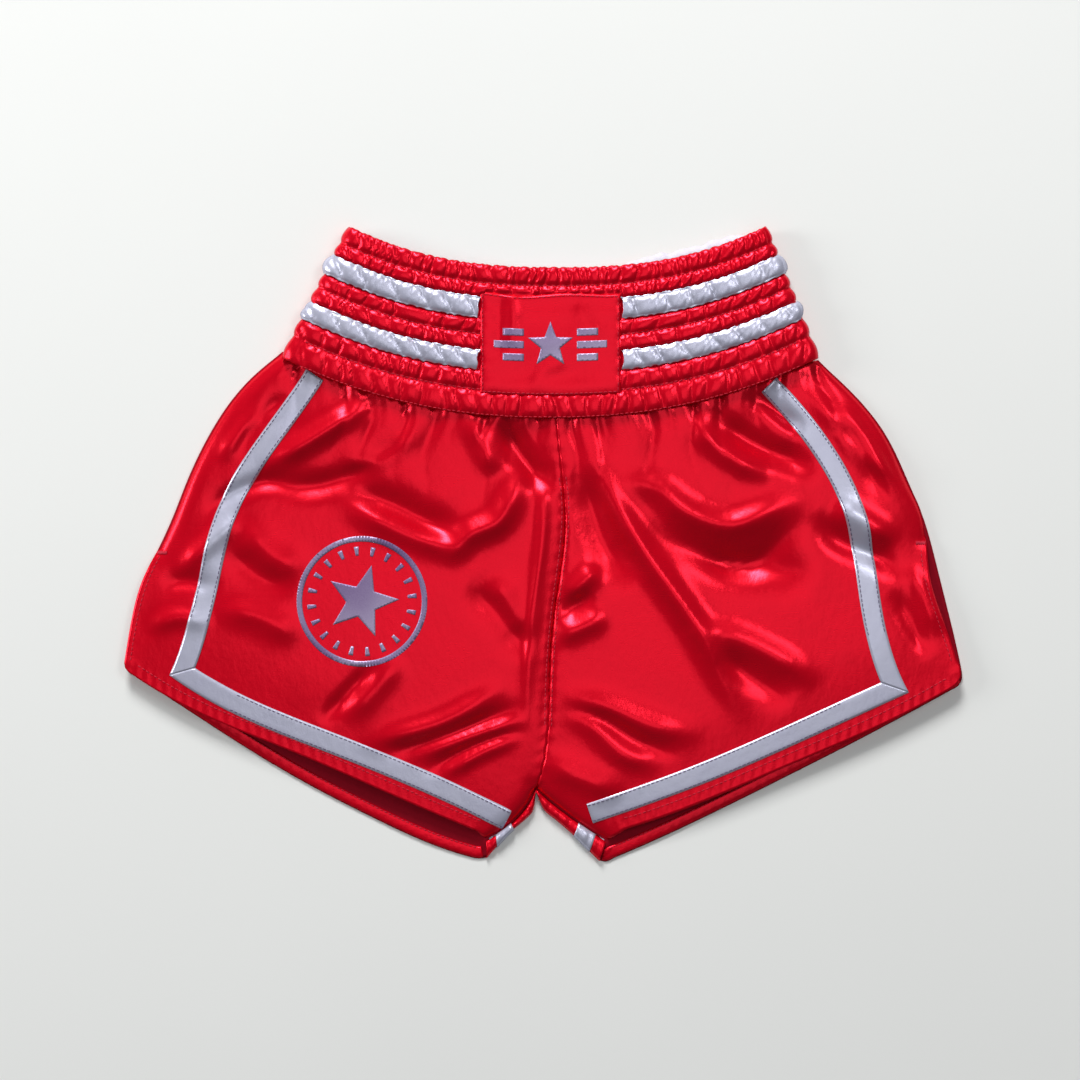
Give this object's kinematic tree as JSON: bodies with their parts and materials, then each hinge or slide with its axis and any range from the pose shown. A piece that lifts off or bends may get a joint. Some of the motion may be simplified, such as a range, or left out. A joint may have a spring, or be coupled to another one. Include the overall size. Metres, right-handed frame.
{
  "type": "boxing shorts",
  "caption": "Wide-leg satin boxing shorts lying flat, with a tall shirred elastic waistband, slit sides, contrast tape round the legs, a waist patch and a round leg print.",
  "frame": {"origin": "middle of the flat garment's outline, on the surface it lies on", "axes": "+X to the wearer's left, +Y up towards the waist, +Z out of the front, off the surface"},
  "size_m": [0.6046, 0.4578, 0.0178],
  "materials": {
    "shell_satin": "glossy red polyester satin",
    "tape_satin": "pale lilac grey satin",
    "lining_cloth": "plain off-white polyester cloth",
    "elastic": "white braided elastic",
    "print_film": "metallic lilac transfer film",
    "red_thread": "red polyester thread",
    "pale_thread": "pale grey polyester thread"
  },
  "bodies": {
    "root": {"back_panel_left": "shell_satin", "back_panel_right": "shell_satin", "bar_tack_left": "red_thread", "bar_tack_right": "red_thread", "centre_stitching_back": "red_thread", "centre_stitching_front": "red_thread", "channel_stitching_back": "red_thread", "channel_stitching_front": "red_thread", "front_panel_left": "shell_satin", "front_panel_right": "shell_satin", "hem_stitching_back_left": "red_thread", "hem_stitching_back_right": "red_thread", "hem_stitching_front_left": "red_thread", "hem_stitching_front_right": "red_thread", "hem_tape_back_left": "tape_satin", "hem_tape_back_right": "tape_satin", "hem_tape_front_left": "tape_satin", "hem_tape_front_right": "tape_satin", "leg_print": "print_film", "patch_print": "print_film", "patch_stitching": "red_thread", "side_tape_back_left": "tape_satin", "side_tape_back_right": "tape_satin", "side_tape_front_left": "tape_satin", "side_tape_front_right": "tape_satin", "tape_stitching_front_left": "pale_thread", "tape_stitching_front_right": "pale_thread", "waist_elastic_1": "elastic", "waist_elastic_2": "elastic", "waist_elastic_3": "elastic", "waist_elastic_4": "elastic", "waist_elastic_5": "elastic", "waist_elastic_6": "elastic", "waist_elastic_7": "elastic", "waist_elastic_8": "elastic", "waist_patch": "shell_satin", "waist_seam_stitching": "red_thread", "waist_stripe_lower_back": "tape_satin", "waist_stripe_lower_left": "tape_satin", "waist_stripe_lower_right": "tape_satin", "waist_stripe_upper_back": "tape_satin", "waist_stripe_upper_left": "tape_satin", "waist_stripe_upper_right": "tape_satin", "waistband_back": "shell_satin", "waistband_front": "shell_satin", "waistband_lining_back": "lining_cloth", "waistband_lining_front": "lining_cloth"}
  },
  "joints": []
}
